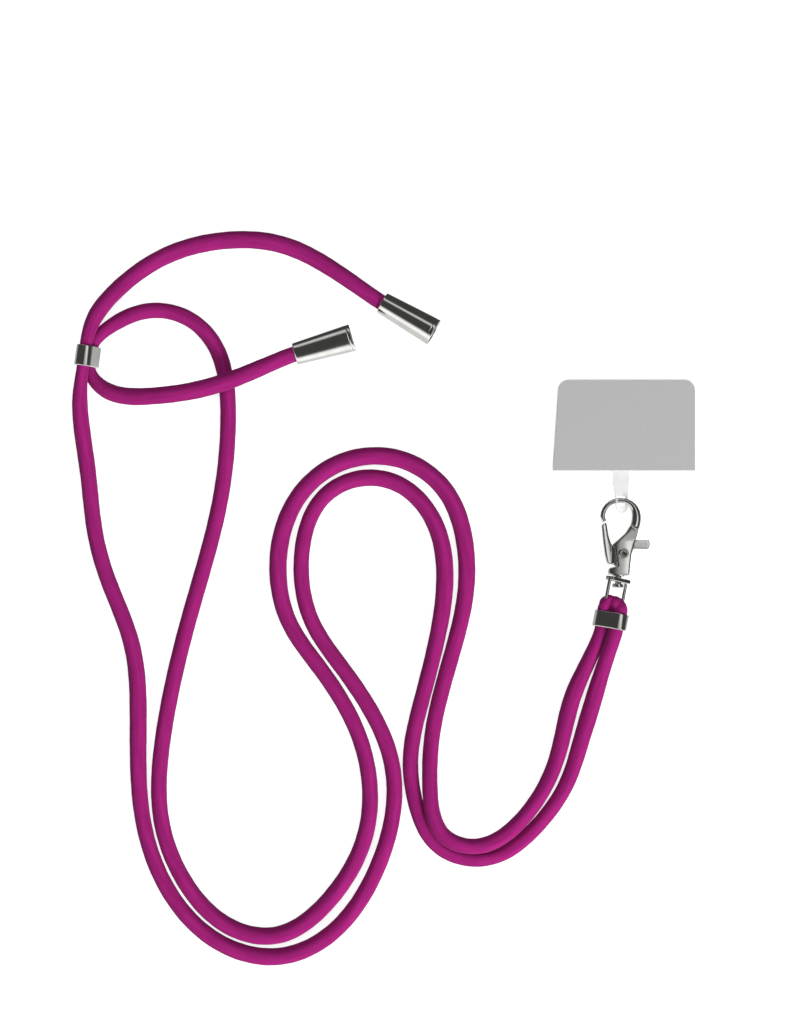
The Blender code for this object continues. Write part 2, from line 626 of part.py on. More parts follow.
def make_tab(bow, tools):
    """The twisted strip that goes over the bow, lofted through its rows."""
    work = bmesh.new()
    loops = []
    for y, height, twist, half in tab_rows(bow):
        across = Vector((math.cos(twist), 0, -math.sin(twist))) * half
        normal = Vector((math.sin(twist), 0, math.cos(twist))) * TAB_THICKNESS / 2
        middle = Vector((bow.x, y, height))
        corners = (middle - across + normal, middle + across + normal, middle + across - normal,
                   middle - across - normal)
        loops.append([work.verts.new(corner) for corner in corners])
    for first, second in zip(loops, loops[1:]):
        for i in range(4):
            work.faces.new((first[i], first[(i + 1) % 4], second[(i + 1) % 4], second[i]))
    work.faces.new(loops[0][::-1])
    work.faces.new(loops[-1])
    bmesh.ops.recalc_face_normals(work, faces=work.faces)
    mesh = bpy.data.meshes.new("tab")
    work.to_mesh(mesh)
    work.free()
    return add("tab", mesh, Matrix.Identity(4), tools)


def make_card(group, tools, clear, grey):
    """The clear sheet with its twisted tab, and the grey pad on it."""
    sheet_curve = flat_curve("anchor_sheet", (rounded_card(CARD_MARGIN),), SHEET_THICKNESS)
    sheet = flush(add("anchor_sheet", sheet_curve, Matrix.Translation((0, 0, SHEET_THICKNESS / 2)), group,
                      clear))
    bow = clasp_frame() @ on_clasp(TAB_ON_BOW)
    boolean(sheet, make_tab(bow, tools), "UNION")
    hole_size = (TAB_WIDTH - 2 * TAB_RIM, TAB_HOLE_LENGTH, TAB_WIDTH)
    hole_place = Matrix.Translation(bow) @ Matrix.Rotation(TAB_TWIST, 4, "Y")
    boolean(sheet, block("tab_hole", hole_size, hole_place, tools))

    pad_height = SHEET_THICKNESS + GAP + PAD_THICKNESS / 2
    pad_curve = flat_curve("anchor_pad", (rounded_card(0.0),), PAD_THICKNESS)
    flush(add("anchor_pad", pad_curve, Matrix.Translation((0, 0, pad_height)), group, grey))


def main():
    for obj in list(bpy.data.objects):
        bpy.data.objects.remove(obj)
    parts = collection("phone_strap")
    tools = collection("cutters")
    cord = material("knitted cord", (0.35, 0.017, 0.19), 0.62)
    metal = material("polished nickel", (0.72, 0.72, 0.70), 0.16, metallic=1.0)
    clear = material("clear sheet", (0.86, 0.87, 0.88), 0.25, alpha=0.5)
    grey = material("grey pad", (0.49, 0.49, 0.49), 0.8)
    make_cords(parts, cord)
    make_rings(parts, metal)
    make_cap("end_cap_a", CAP_A_MOUTH, CAP_A_TURN, True, parts, metal)
    make_cap("end_cap_b", CAP_B_MOUTH, CAP_B_TURN, False, parts, metal)
    make_eye(parts, tools, metal)
    make_hook(parts, tools, metal)
    make_lever(parts, tools, metal)
    make_card(parts, tools, clear, grey)


main()
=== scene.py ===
"""Looks of the phone strap: its knitted cord, nickel fittings, clear tab and grey card on a white table.

Metres, in the frame's own axes. The floor is z = 0 and the camera looks straight down.
"""
import math

import bmesh
import bpy
import numpy as np
from mathutils import Matrix, Vector


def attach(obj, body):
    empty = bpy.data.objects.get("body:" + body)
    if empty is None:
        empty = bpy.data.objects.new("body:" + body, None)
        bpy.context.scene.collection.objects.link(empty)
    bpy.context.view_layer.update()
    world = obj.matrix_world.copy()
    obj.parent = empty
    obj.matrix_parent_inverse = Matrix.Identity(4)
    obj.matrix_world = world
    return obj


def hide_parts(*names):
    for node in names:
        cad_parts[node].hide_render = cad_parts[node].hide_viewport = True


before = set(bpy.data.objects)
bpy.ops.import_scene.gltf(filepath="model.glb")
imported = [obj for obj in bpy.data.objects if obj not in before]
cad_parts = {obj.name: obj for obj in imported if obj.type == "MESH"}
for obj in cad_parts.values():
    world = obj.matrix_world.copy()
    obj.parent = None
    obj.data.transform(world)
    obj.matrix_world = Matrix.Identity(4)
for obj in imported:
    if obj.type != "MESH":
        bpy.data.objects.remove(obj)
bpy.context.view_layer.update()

MM = 0.001
GAP = 0.3 * MM
CORD_DIAMETER = 6.1 * MM
SAMPLES = 40                      # close-set points from one row of a route to the next

# Camera: straight above the middle of the photograph, and the table's width that its long side shows
VIEW_MIDDLE = Vector((-83.9, -31.9, 3.0)) * MM
VIEW_HEIGHT = 375.8 * MM
LENS_MM = 85.0
SENSOR_MM = 36.0

# Places of the clasp, band, slider and caps, as in the frame
CLASP_AT = Vector((-2.4, -55.0, 4.4)) * MM
CLASP_LEAN = math.radians(3.5)
CLASP_PITCH = math.radians(4.1)
HEAD_LEAN = math.radians(11.0)
EYE_BELOW = 1.8 * MM
EYE_WIRE = 0.65 * MM
BAND_BELOW = 15.1 * MM
BAND_LENGTH = 5.9 * MM
BAND_WALL = 0.75 * MM
BAND_GIRTH = 0.87
BAND_ROLL = math.radians(35.0)
BAND_SPREAD = BAND_GIRTH * CORD_DIAMETER / 2 + GAP
EYE_BAR = BAND_BELOW - BAND_LENGTH / 2 - GAP - EYE_WIRE
SLIDER_AT = Vector((-196.7, 25.1, 5.6)) * MM
SLIDER_LEAN = math.radians(8.0)
SLIDER_ROLL = math.radians(68.0)
SLIDER_LENGTH = 7.5 * MM
SLIDER_WALL = 0.7 * MM
SLIDER_GIRTH = 0.75
SLIDER_SPREAD = SLIDER_GIRTH * CORD_DIAMETER / 2 + GAP / 2
CAP_LENGTH = 22.0 * MM
CAP_GIRTH = 0.95
CAP_WALL = 0.8 * MM
CAP_FLARE = 1.1 * MM
CAP_CORD_DEPTH = 6.0 * MM
CAP_END_ROOM = 1.0 * MM
CAP_RIM = 0.8 * MM
CAP_RECESS = 0.7 * MM
CAP_LIP = 0.35 * MM               # radius of its rolled mouth
CAP_EDGE = 0.38 * MM              # of the outer edge of its rim
CAP_CORNER = 0.12 * MM            # and of the corner of its recess
CAP_STEP = 0.25 * MM              # from its rim to that corner
CAP_SIDE = (21.3, 1.7, 15)        # rings along its side: first and last back from the far end, in mm
CAP_GROOVE = ((1.55, 0.0), (1.42, 0.09), (1.22, 0.09), (1.09, 0.0), (0.9, 0.0))  # back and depth, mm
CAP_BORE = CAP_GIRTH * CORD_DIAMETER / 2 + GAP
CAP_MOUTH_RADIUS = CAP_BORE + CAP_WALL
CAP_END_RADIUS = CAP_MOUTH_RADIUS + CAP_FLARE
CAP_A = ((-89.0 * MM, 44.8 * MM), math.radians(-30.0), True)
CAP_B = ((-121.0 * MM, 25.9 * MM), math.radians(16.0), False)

# Routes of the strands and the fold, repeated from the model: x and y in mm, lift off the floor in mm
# and the cord's girth as a share of its diameter
FOLD_ARC = ((90, 0.655), (50, 0.68), (22, 0.74), (2, 0.77))
FOLD_IN_BAND = ((0.0, 0.79), (0.25, 0.85))
STRAND_A_ARM = (
    (-7, -86, 2.2, 0.93), (-11.5, -101, 0, 1.06), (-16, -116, 0, 1.02), (-21.5, -132, 0, 0.95),
    (-32, -147, 0, 0.93), (-45.5, -157.5, 0, 0.93), (-58.5, -159, 0, 0.93), (-70, -153, 0, 0.93),
    (-77, -137.5, 0, 0.94), (-78.5, -121, 0, 0.96), (-74.5, -101, 0, 0.97), (-69, -79, 0, 1.0),
    (-66, -57, 0, 1.07), (-69.5, -36.5, 0, 1.04), (-81.5, -22.5, 0, 1.02), (-96.5, -19.5, 0, 1.02),
    (-111, -27, 0, 0.97), (-118.5, -47.5, 0, 0.95), (-115, -71.5, 0, 0.96), (-103, -90, 0, 0.96),
    (-88, -115.5, 0, 0.98), (-84.5, -136, 0, 0.98), (-90, -160.5, 0, 1.0), (-106.5, -185.5, 0, 1.02),
    (-127.5, -195, 0, 1.05), (-151, -188.5, 0, 1.0), (-169, -168, 0, 0.96), (-177.5, -140, 0, 0.97),
    (-178.5, -105.5, 0, 1.05), (-181, -80, 0, 1.0), (-189.5, -57, 0, 0.97), (-194.5, -38.5, 0, 0.97),
    (-197, -16.5, 0.4, 0.99), (-199.5, 9, 3.4, 0.93))
STRAND_A_TAIL = (
    (-194.5, 38, 4.3, 0.95), (-188, 47.5, 1.7, 1.02), (-168.5, 62, 0, 1.04), (-141, 68, 0, 1.06),
    (-117.5, 63, 0, 1.05))
STRAND_B_ARM = (
    (-13, -86, 0.2, 0.93), (-19.5, -101, 0, 1.06), (-25.5, -124, 0.4, 0.97), (-38.5, -145, 3.1, 0.95),
    (-54, -154, 4.0, 0.95), (-67, -149.5, 4.2, 0.95), (-71.5, -132, 2.9, 0.95), (-70, -110, 0, 0.97),
    (-62, -79, 0, 1.0), (-58, -57, 0, 1.04), (-60.5, -35, 0, 1.08), (-67.5, -22, 0, 1.08),
    (-82.5, -12.5, 0, 1.08), (-103.5, -13.5, 0, 1.08), (-119.5, -26, 0, 1.06), (-127, -47.5, 0, 1.08),
    (-123.5, -71.5, 0, 1.0), (-112, -89, 0, 0.97), (-97, -115.5, 0, 0.97), (-94.5, -147.5, 0, 1.0),
    (-107, -172.5, 0, 1.05), (-127, -187, 0, 1.06), (-146, -183.5, 0, 1.02), (-161.5, -167.5, 0, 0.98),
    (-170, -145, 0, 0.97), (-169.5, -115.5, 0, 0.98), (-160, -71.5, 0, 0.98), (-149, -30.5, 0, 0.97),
    (-145.5, 3.5, 0, 0.97), (-149.5, 27.5, 0, 0.97), (-160, 39, 0, 0.95), (-174, 42, 0, 0.95),
    (-187.5, 37, 0.1, 0.9))
STRAND_B_TAIL = (
    (-190.5, 13, 1.4, 0.97), (-172.5, 10.5, 4.2, 1.04), (-146, 15.5, 6.8, 1.06))

# Cord mesh
CORD_SIDES = 44
CORD_STEP = 0.95 * MM             # between rings of the tube
WALES = 30                        # knitted ribs round the cord
COURSE = 0.62 * MM                # height of one stitch along the cord
SWELL_WAVES = ((9.7, 0.011, 0.4), (23.0, 0.014, 2.1), (4.3, 0.005, 1.2))  # length mm, share, phase

# Puffed fold: swellings that fill it round the eye. Middle across, down from the eye's plate and up,
# then the half sizes the same ways, in mm in the head's own frame
FOLD_SWELL = 1.1
FOLD_SWELLINGS = (
    (-2.6, 9.5, 0.8, 2.8, 3.1, 2.6), (-2.0, 8.0, 1.2, 2.2, 2.1, 2.1), (0.3, 9.0, 1.5, 2.8, 3.0, 2.4))
FOLD_VOXEL = 0.22 * MM
FOLD_POLISH = 14
FOLD_MARK = 0.25 * MM             # step of the line that its knit follows
CLEFT_TOP = (-1.9, 8.6)           # the crease between its two lobes, across and down, in mm
CLEFT_FOOT = (0.1, 12.4)
CLEFT_WIDTH = 0.65 * MM
CLEFT_DEPTH = 1.4 * MM

# Cast metal pieces
CAST_VOXEL = 0.14 * MM
HOOK_POLISH = 20                  # passes that run facets and edges together
LEVER_POLISH = 30
EYE_POLISH = 6
CROWN_SHARE = 0.08                # how much thinner the housing is at this reach in mm from its ridge
CROWN_REACH = 3.2
CROWN_RIDGE = -1.5
CROWN_FADE = (17.5, 12.5)         # up the clasp, where the crown starts and is full, in mm
ARM_SHARE = 0.5                   # and the lever at its arm's inner edge and at its thumb piece's tip
THUMB_SHARE = 0.55
ARM_LEAN = 0.171                  # how far across the arm leans for each mm down
ARM_RIDGE = (-7.0, 18.0)          # a point of its outer edge, and one of its inner edge, in mm
ARM_FOOT = (-3.4, 11.4)
ARM_FADE = (-2.0, -3.0)           # across the clasp, where the arm ends and where it is full
THUMB_FADE = (5.2, 10.9)
EDGE_STEPS = 5
CAST_SIDES = 72                   # faces round a cap
PIN_SIDES = 48
AXIS_HOLE = 0.02 * MM             # radius of the small face that closes a turned piece
TURNED_CREASE = math.radians(40)
SLEEVE_EDGE = 0.3 * MM
SLEEVE_STEPS = 28

# Pin
PIVOT = Vector((1.204, 7.812, 0.0)) * MM
PIN_RADIUS = 1.25 * MM
PIN_WALL = 0.5 * MM
PIN_LIP = 0.35 * MM
PIN_HEAD_LENGTH = 0.5 * MM
PIN_SEAT = 3.0 * MM               # from the middle plane to the underside of a head
PIN_EDGE = 0.4 * MM
PIN_WEB = 0.6 * MM                # left in the middle of its bore

# Clear sheet with its tab
SHEET_THICKNESS = 0.5 * MM
CARD_WIDTH = 52.0 * MM
CARD_HEIGHT = 33.0 * MM
CARD_TAPER = 2.0 * MM
CARD_CORNER = 3.6 * MM
CARD_MARGIN = 0.4 * MM
CARD_CORNER_STEPS = 12
SHEET_CREASE = math.radians(35)
TAB_WIDTH = 6.1 * MM
TAB_THICKNESS = 0.48 * MM
TAB_ROOT = 2.0 * MM
TAB_TWIST = math.radians(42.0)
TAB_BEYOND = 4.6 * MM
TAB_TIP = 2.45 * MM
TAB_TIP_TURN = 86.0               # degrees
TAB_TIP_ROWS = 16
TAB_ROWS = 49
TAB_RIM = 0.9 * MM
TAB_HOLE_LENGTH = 3.1 * MM
TAB_ON_BOW = Vector((-0.364, 27.412, 0.0)) * MM

# Light: where the narrow light and the broad southern light stand, as normals of their great circles
STRIP_NORMAL = (-0.730, -0.440, 0.522)
SOFTBOX_NORMAL = (0.488, 0.5955, 0.6374)
ROOM_LIGHT = 0.26                 # of the even room; the others are what polished metal sees
STRIP_LIGHT = 0.65
STRIP_FADE = (0.24, 0.05)         # each fade: the value where a light starts, and where it is full
HORIZON_FADE = (-0.2, 0.1)
EAST_LIGHT = 0.42
EAST_FADE = (0.05, 0.27)
EAST_RISE = (0.72, 0.92)
SOUTH_FADE = (-0.05, -0.35)
SOFTBOX_LIGHT = 1.25
SOFTBOX_FADE = (0.14, -0.32)
SOFTBOX_DIMMING = 0.42
SOFTBOX_DIM_FADE = (-0.5, -0.8)
TABLE_LIGHT = 0.45
TABLE_FADE = (-0.1, -0.5)
TABLE_NORTH_FADE = (0.6, 0.25)
DARK_ROOM = 0.055


def make_camera():
    data = bpy.data.cameras.new("camera")
    data.lens = LENS_MM
    data.sensor_width = SENSOR_MM
    camera = bpy.data.objects.new("camera", data)
    bpy.context.scene.collection.objects.link(camera)
    camera.location = VIEW_MIDDLE + Vector((0, 0, VIEW_HEIGHT * LENS_MM / SENSOR_MM))
    bpy.context.scene.camera = camera


def turn_frame(place, heading, pitch=0.0, roll=0.0):
    turn = Matrix.Rotation(heading, 4, "Z") @ Matrix.Rotation(pitch, 4, "X") @ Matrix.Rotation(roll, 4, "Y")
    return Matrix.Translation(place) @ turn


def clasp_frame():
    return turn_frame(CLASP_AT, -CLASP_LEAN, -CLASP_PITCH)


def head_frame(roll=0.0):
    return turn_frame(clasp_frame() @ Vector((0, -EYE_BELOW, 0)), -HEAD_LEAN, -CLASP_PITCH, roll)


def slider_frame():
    return turn_frame(SLIDER_AT, -SLIDER_LEAN, 0.0, SLIDER_ROLL)


def cap_frame(mouth, turn, resting):
    rise = math.asin(CAP_FLARE / CAP_LENGTH) if resting else 0.0
    height = CAP_MOUTH_RADIUS / math.cos(rise) if resting else CAP_END_RADIUS
    turned_way = Matrix.Rotation(turn, 4, "Z") @ Matrix.Rotation(-rise, 4, "Y")
    return Matrix.Translation((*mouth, height)) @ turned_way


def smooth(rows):
    """Natural cubic spline through rows of numbers, as close-set rows."""
    table = np.array(rows, float)
    steps = np.linalg.norm(np.diff(table[:, :2], axis=0), axis=1) ** 0.75
    count = len(table)
    system, right = np.eye(count), np.zeros_like(table)
    for i in range(1, count - 1):
        system[i, i - 1:i + 2] = steps[i - 1], 2 * (steps[i - 1] + steps[i]), steps[i]
        right[i] = 6 * ((table[i + 1] - table[i]) / steps[i] - (table[i] - table[i - 1]) / steps[i - 1])
    bend = np.linalg.solve(system, right)
    fine = []
    for i, step in enumerate(steps):
        for share in np.linspace(0, 1, SAMPLES, endpoint=False):
            a, b = (1 - share) * step, share * step
            fine.append((bend[i] * a ** 3 + bend[i + 1] * b ** 3) / (6 * step)
                        + (table[i] / step - bend[i] * step / 6) * a
                        + (table[i + 1] / step - bend[i + 1] * step / 6) * b)
    fine.append(table[-1])
    return np.array(fine)


def in_floor_row(point, girth):
    return point.x, point.y, point.z - girth * CORD_DIAMETER / 2, girth


def in_metres(rows):
    return [(x * MM, y * MM, lift * MM, girth) for x, y, lift, girth in rows]


def band_rows(side):
    place = head_frame(-BAND_ROLL)
    stations = np.linspace(BAND_BELOW + GAP / 2, BAND_BELOW + BAND_LENGTH / 2 + 2 * GAP, 3)
    return [in_floor_row(place @ Vector((side * BAND_SPREAD, -down, 0)), BAND_GIRTH) for down in stations]


def slider_rows(side, upward):
    place = slider_frame()
    reach = SLIDER_LENGTH / 2 + 2 * GAP
    rows = [in_floor_row(place @ Vector((side * SLIDER_SPREAD, along, 0)), SLIDER_GIRTH)
            for along in (-reach, 0.0, reach)]
    return rows if upward else rows[::-1]


def cap_rows(mouth, turn, resting):
    place = cap_frame(mouth, turn, resting)
    stations = np.linspace(-2 * GAP, CAP_CORD_DEPTH, 3)
    return [in_floor_row(place @ Vector((along, 0, 0)), CAP_GIRTH) for along in stations]


def strand_line(*stretches):
    """World points and girths along a strand, close together."""
    fine = smooth([row for stretch in stretches for row in stretch])
    heights = np.maximum(fine[:, 2], 0) + fine[:, 3] * CORD_DIAMETER / 2
    return np.column_stack([fine[:, :2], heights]), fine[:, 3]


def fold_line():
    """World points and girths along the fold, from strand b's side to strand a's."""
    half = []
    for degrees, girth in FOLD_ARC:
        angle = math.radians(degrees)
        reach = EYE_WIRE + 1.5 * GAP + girth * CORD_DIAMETER / 2
        half.append((reach * math.cos(angle), EYE_BAR - reach * math.sin(angle), girth))
    for share, girth in FOLD_IN_BAND:
        half.append((BAND_SPREAD + GAP * (1 - 4 * share), BAND_BELOW + BAND_LENGTH * (share - 0.5), girth))
    half.append((BAND_SPREAD, BAND_BELOW - GAP / 2, BAND_GIRTH))
    fine = smooth([(-out, down, girth) for out, down, girth in half[:0:-1]] + half)
    place = head_frame(-BAND_ROLL)
    return np.array([place @ Vector((out, -down, 0)) for out, down, _ in fine]), fine[:, 2]


def evenly(points, girths, step):
    """The line's points and girths at even distances along it, and those distances."""
    along = np.concatenate([[0], np.cumsum(np.linalg.norm(np.diff(points, axis=0), axis=1))])
    marks = np.linspace(0, along[-1], max(8, round(along[-1] / step)) + 1)
    spread = np.column_stack([np.interp(marks, along, points[:, i]) for i in range(3)])
    return spread, np.interp(marks, along, girths), marks


def turning_frames(points):
    """Directions along a line and, square to them, one side direction carried along without twist."""
    ways = np.gradient(points, axis=0)
    ways /= np.linalg.norm(ways, axis=1)[:, None]
    side = np.cross(ways[0], (0, 0, 1.0))
    sides = []
    for way in ways:
        side = side - way * (side @ way)
        side /= np.linalg.norm(side)
        sides.append(side)
    return ways, np.array(sides)


def put(name, mesh, look):
    """A smooth-shaded object of a mesh with one material."""
    mesh.shade_smooth()
    mesh.materials.clear()
    mesh.materials.append(look)
    made = bpy.data.objects.new(name, mesh)
    bpy.context.scene.collection.objects.link(made)
    return made


def mesh_object(name, work, look):
    mesh = bpy.data.meshes.new(name)
    work.to_mesh(mesh)
    work.free()
    return put(name, mesh, look)


def settle(obj):
    """The object with its modifiers worked into its mesh."""
    bpy.context.view_layer.update()
    mesh = bpy.data.meshes.new_from_object(obj.evaluated_get(bpy.context.evaluated_depsgraph_get()))
    obj.modifiers.clear()
    obj.data = mesh
    mesh.shade_smooth()
    return obj


def stand_for(piece, node, body):
    """The piece takes a node's place on its body, and the node is hidden."""
    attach(piece, body)
    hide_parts(node)
    return piece


def grid_between(work, rings, closed=False):
    """Quads between rings of vertices, each ring a loop."""
    pairs = list(zip(rings, rings[1:] + rings[:1])) if closed else list(zip(rings, rings[1:]))
    for first, second in pairs:
        for i in range(len(first)):
            j = (i + 1) % len(first)
            work.faces.new((first[i], first[j], second[j], second[i]))


def cord_tube(name, points, girths, look):
    """A closed tube along a line. UV: turns round the cord, then metres along it."""
    line, girth, marks = evenly(points, girths, CORD_STEP)
    for length, share, phase in SWELL_WAVES:
        girth = girth * (1 - share * np.sin(2 * np.pi * marks / (length * MM) + phase) ** 2)
    ways, sides = turning_frames(line)
    work = bmesh.new()
    uv = work.loops.layers.uv.new("knit")
    rings = []
    for point, way, side, share in zip(line, ways, sides, girth):
        up = np.cross(side, way)
        ring = []
        for i in range(CORD_SIDES):
            angle = 2 * math.pi * i / CORD_SIDES
            out = side * math.cos(angle) + up * math.sin(angle)
            ring.append(work.verts.new(point + out * share * CORD_DIAMETER / 2))
        rings.append(ring)
    for row, (first, second) in enumerate(zip(rings, rings[1:])):
        for i in range(CORD_SIDES):
            face = work.faces.new((first[i], first[(i + 1) % CORD_SIDES], second[(i + 1) % CORD_SIDES],
                                   second[i]))
            corners = ((i, row), (i + 1, row), (i + 1, row + 1), (i, row + 1))
            for loop, (turn, at) in zip(face.loops, corners):
                loop[uv].uv = (turn / CORD_SIDES, marks[at])
    work.faces.new(rings[0][::-1])
    work.faces.new(rings[-1])
    bmesh.ops.recalc_face_normals(work, faces=work.faces)
    return mesh_object(name, work, look), line


def add_swelling(work, place, row):
    """An egg-shaped closed mesh at a row of the swellings' table."""
    across, down, up, *sizes = [value * MM for value in row]
    egg = Matrix.Translation((across, -down, up)) @ Matrix.Diagonal((*sizes, 1.0))
    bmesh.ops.create_uvsphere(work, u_segments=32, v_segments=20, radius=1.0, matrix=place @ egg)


def press_cleft(mesh, place):
    """A crease pressed into the fold's upper side, deeper towards the band."""
    top, foot = (Vector((across, -down)) * MM for across, down in (CLEFT_TOP, CLEFT_FOOT))
    run = foot - top
    inward = place.to_3x3() @ Vector((0, 0, -1))
    back = place.inverted()
    for vertex in mesh.vertices:
        local = back @ vertex.co
        share = max(0.0, min(1.15, (local.xy - top).dot(run) / run.length_squared))
        off = (local.xy - top - run * share).length / CLEFT_WIDTH
        facing = max(0.0, min(1.0, local.z / MM))
        depth = CLEFT_DEPTH * math.exp(-off * off) * facing * min(1.0, 0.35 + share)
        vertex.co += inward * depth


def wrap_knit(mesh, points, girths):
    """UV of a tube's knit for a mesh near that tube's line."""
    line, _, marks = evenly(points, girths, FOLD_MARK)
    ways, sides = turning_frames(line)
    ups = np.cross(sides, ways)
    spots = np.array([vertex.co[:] for vertex in mesh.vertices])
    nearest = np.array([np.argmin(((line - spot) ** 2).sum(axis=1)) for spot in spots])
    out = spots - line[nearest]
    turns = np.arctan2((out * ups[nearest]).sum(axis=1), (out * sides[nearest]).sum(axis=1)) / (2 * np.pi)
    layer = mesh.uv_layers.new(name="knit")
    for face in mesh.polygons:
        corners = [mesh.loops[i].vertex_index for i in face.loop_indices]
        first = turns[corners[0]]
        for i, corner in zip(face.loop_indices, corners):
            turn = turns[corner] + round(first - turns[corner])
            layer.data[i].uv = (turn, marks[nearest[corner]])


def make_fold(look):
    """The cord folded over the clasp's eye: two plump lobes with a crease between them."""
    points, girths = fold_line()
    fold, _ = cord_tube("strap_cord_fold", points, girths * FOLD_SWELL, look)
    work = bmesh.new()
    work.from_mesh(fold.data)
    for row in FOLD_SWELLINGS:
        add_swelling(work, head_frame(), row)
    work.to_mesh(fold.data)
    work.free()
    remesh = fold.modifiers.new("one skin", "REMESH")
    remesh.mode = "VOXEL"
    remesh.voxel_size = FOLD_VOXEL
    soften = fold.modifiers.new("soften", "SMOOTH")
    soften.iterations = FOLD_POLISH
    settle(fold)
    press_cleft(fold.data, head_frame())
    wrap_knit(fold.data, points, girths)
    return fold


def make_cords(look, caps):
    """The fold that the band holds on the eye, and the two free strands of the same knitted cord."""
    fold = stand_for(make_fold(look), "cord_fold", "strap")
    strand_a = strand_line(band_rows(1), in_metres(STRAND_A_ARM), slider_rows(-1, True),
                           in_metres(STRAND_A_TAIL), cap_rows(*CAP_A))
    strand_b = strand_line(band_rows(-1), in_metres(STRAND_B_ARM), slider_rows(1, False),
                           in_metres(STRAND_B_TAIL), cap_rows(*CAP_B))
    pieces = (("strap_cord_a", strand_a, "cord_strand_a", [caps[0], fold]),
              ("strap_cord_b", strand_b, "cord_strand_b", [caps[1]]))
    for name, (points, girths), node, on_it in pieces:
        piece, line = cord_tube(name, points, girths, look)
        stand_for(piece, node, "strap")
        piece.visible_glossy = False


def arc(centre, radius, start, turn, steps=EDGE_STEPS):
    """Points of a circle's arc, from an angle in degrees and through a turn in degrees."""
    angles = [math.radians(start + turn * i / steps) for i in range(steps + 1)]
    return [(centre[0] + radius * math.cos(angle), centre[1] + radius * math.sin(angle))
            for angle in angles]


def turned(name, profile, place, look, sides=CAST_SIDES):
    """A solid turned about its own x axis, from a profile of distance along it and radius."""
    work = bmesh.new()
    rings = []
    for along, radius in profile:
        angles = [2 * math.pi * i / sides for i in range(sides)]
        rings.append([work.verts.new(place @ Vector((along, radius * math.cos(angle),
                                                     radius * math.sin(angle)))) for angle in angles])
    grid_between(work, rings)
    work.faces.new(rings[0][::-1])
    work.faces.new(rings[-1])
    bmesh.ops.recalc_face_normals(work, faces=work.faces)
    made = mesh_object(name, work, look)
    made.data.set_sharp_from_angle(angle=TURNED_CREASE)
    return made


def make_cap(name, node, spot, look):
    """A conical cap: rolled mouth, a fine groove before its far end, and a rounded rim round a recess."""
    lip, edge = CAP_LIP, CAP_EDGE
    slope = CAP_FLARE / CAP_LENGTH
    bottom = CAP_CORD_DEPTH + CAP_END_ROOM
    rim_middle = CAP_END_RADIUS - edge
    profile = [(bottom, AXIS_HOLE), (bottom, CAP_BORE), (lip, CAP_BORE)]
    profile += arc((lip, CAP_MOUTH_RADIUS - lip), lip, 250, -160)
    for back, depth in [(back, 0.0) for back in np.linspace(*CAP_SIDE)] + list(CAP_GROOVE):
        along = CAP_LENGTH - back * MM
        profile.append((along, CAP_MOUTH_RADIUS + slope * along - depth * MM))
    profile += arc((CAP_LENGTH - edge, rim_middle), edge, 90, -90)
    profile += arc((CAP_LENGTH - edge, CAP_END_RADIUS - CAP_RIM + edge / 2), edge, 0, -90)
    floor = CAP_LENGTH - CAP_RECESS
    corner = (floor + CAP_CORNER, CAP_END_RADIUS - CAP_RIM - CAP_STEP)
    profile += arc(corner, CAP_CORNER, 90, 90)
    profile.append((floor, AXIS_HOLE))
    return stand_for(turned(name, profile, cap_frame(*spot), look), node, "strap")


def make_sleeve(name, node, spread, inner, wall, length, place, look):
    """An oval sleeve round two strands, its long way x and its axis y, with rounded rims."""
    edge = SLEEVE_EDGE
    half, outer = length / 2 - edge, wall - edge
    section = arc((outer, half), edge, 0, 90) + arc((edge, half), edge, 90, 90)
    section += arc((edge, -half), edge, 180, 90) + arc((outer, -half), edge, 270, 90)
    route = arc((spread, 0), 1.0, -90, 180, SLEEVE_STEPS) + arc((-spread, 0), 1.0, 90, 180, SLEEVE_STEPS)
    work = bmesh.new()
    rings = []
    for x, z in route:
        middle = Vector((spread if x > 0 else -spread, 0, 0))
        out = Vector((x, 0, z)) - middle
        rings.append([work.verts.new(place @ (middle + out * (inner + beyond) + Vector((0, along, 0))))
                      for beyond, along in section])
    grid_between(work, rings, closed=True)
    bmesh.ops.recalc_face_normals(work, faces=work.faces)
    return stand_for(mesh_object(name, work, look), node, "strap")


def make_pin(look):
    """The hollow rivet of the lever, with two domed heads."""
    edge, hole = PIN_EDGE, PIN_RADIUS - PIN_WALL
    head, top = PIN_RADIUS + GAP + PIN_LIP, PIN_SEAT + PIN_HEAD_LENGTH
    upper = [(PIN_WEB / 2, AXIS_HOLE), (PIN_WEB / 2, hole), (top - edge, hole)]
    upper += arc((top - edge, hole + edge), edge, 270, 90)
    upper += arc((top - edge, head - edge), edge, 0, 90) + [(PIN_SEAT, head), (PIN_SEAT, PIN_RADIUS)]
    profile = upper + [(-along, radius) for along, radius in upper[::-1]]
    place = clasp_frame() @ Matrix.Translation(PIVOT) @ Matrix.Rotation(math.radians(-90), 4, "Y")
    pin = turned("strap_lever_pin", profile, place, look, PIN_SIDES)
    return stand_for(pin, "lever_pin", "hook")


def cast_piece(name, node, body, look, polishing, crown=None):
    """A node's own form with its facets, edges and joints run together, as in a polished casting."""
    made = put(name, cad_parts[node].data.copy(), look)
    remesh = made.modifiers.new("one skin", "REMESH")
    remesh.mode = "VOXEL"
    remesh.voxel_size = CAST_VOXEL
    polish = made.modifiers.new("polish", "SMOOTH")
    polish.iterations = polishing
    settle(made)
    if crown:
        place = clasp_frame()
        back = place.inverted()
        for vertex in made.data.vertices:
            local = back @ vertex.co
            local.z *= 1 - crown(local.x / MM, local.y / MM)
            vertex.co = place @ local
    return stand_for(made, node, body)


def between(value, start, end):
    """How far a value is from the start to the end, from 0 to 1."""
    return max(0.0, min(1.0, (value - start) / (end - start)))


